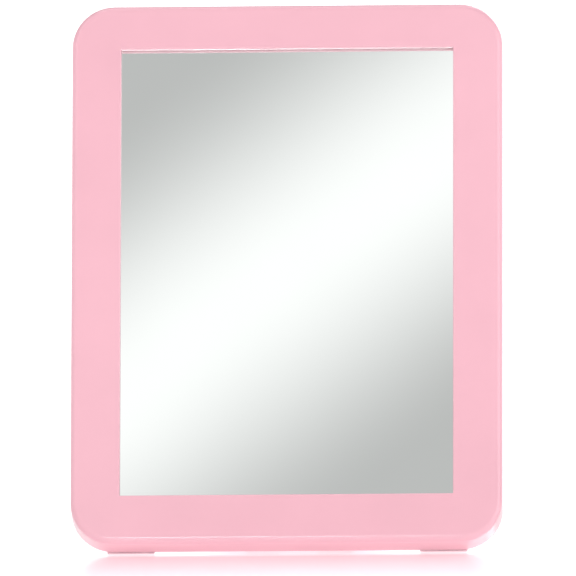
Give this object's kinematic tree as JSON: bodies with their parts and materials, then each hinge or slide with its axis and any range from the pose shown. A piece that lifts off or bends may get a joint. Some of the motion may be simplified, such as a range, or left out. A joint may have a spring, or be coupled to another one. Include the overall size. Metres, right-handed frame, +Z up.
{
  "type": "hand mirror",
  "caption": "Rectangular framed mirror with rounded corners and a recessed glass; its loop handle folds flat, props it up as a stand or turns down as a grip.",
  "frame": {"origin": "on the surface it stands on, under the middle of the whole object with its handle swung out as a stand", "axes": "+Z up, +X to the right as seen from the front, +Y from the glass towards the handle behind it, so the glass faces -Y and leans back"},
  "size_m": [0.127, 0.1204, 0.1601],
  "materials": {
    "gloss_pink_abs": "glossy injection-moulded",
    "satin_pink_abs": "satin spark-eroded texture",
    "silvered_glass": "silvered float glass",
    "greyboard": "pressed greyboard",
    "zinc_steel": "zinc-plated",
    "spring_steel": "rolled strip",
    "nylon": "natural nylon",
    "rubber": "matt moulded rubber"
  },
  "bodies": {
    "mirror": {"front_frame": "gloss_pink_abs", "mirror_glass": "silvered_glass", "backing_board": "greyboard", "rear_cover": "satin_pink_abs", "cover_screw_upper_left": "zinc_steel", "cover_screw_upper_right": "zinc_steel", "cover_screw_lower_left": "zinc_steel", "cover_screw_lower_right": "zinc_steel", "cover_screw_top": "zinc_steel", "cover_screw_bottom": "zinc_steel", "hinge_pin": "zinc_steel", "pin_cap_left": "satin_pink_abs", "pin_cap_right": "satin_pink_abs", "friction_washer_left": "nylon", "friction_washer_right": "nylon", "detent_spring": "spring_steel", "spring_screw_left": "zinc_steel", "spring_screw_right": "zinc_steel", "rubber_foot_left": "rubber", "rubber_foot_right": "rubber"},
    "handle": {"handle_loop": "gloss_pink_abs", "handle_pad_left": "rubber", "handle_pad_right": "rubber"}
  },
  "joints": [
    {"name": "handle_hinge", "type": "hinge", "parent": "mirror", "child": "handle", "pos_m": [0, -0.04152, 0.02481], "axis": [-1, 0, 0], "range_deg": [-85, 94.8]}
  ]
}
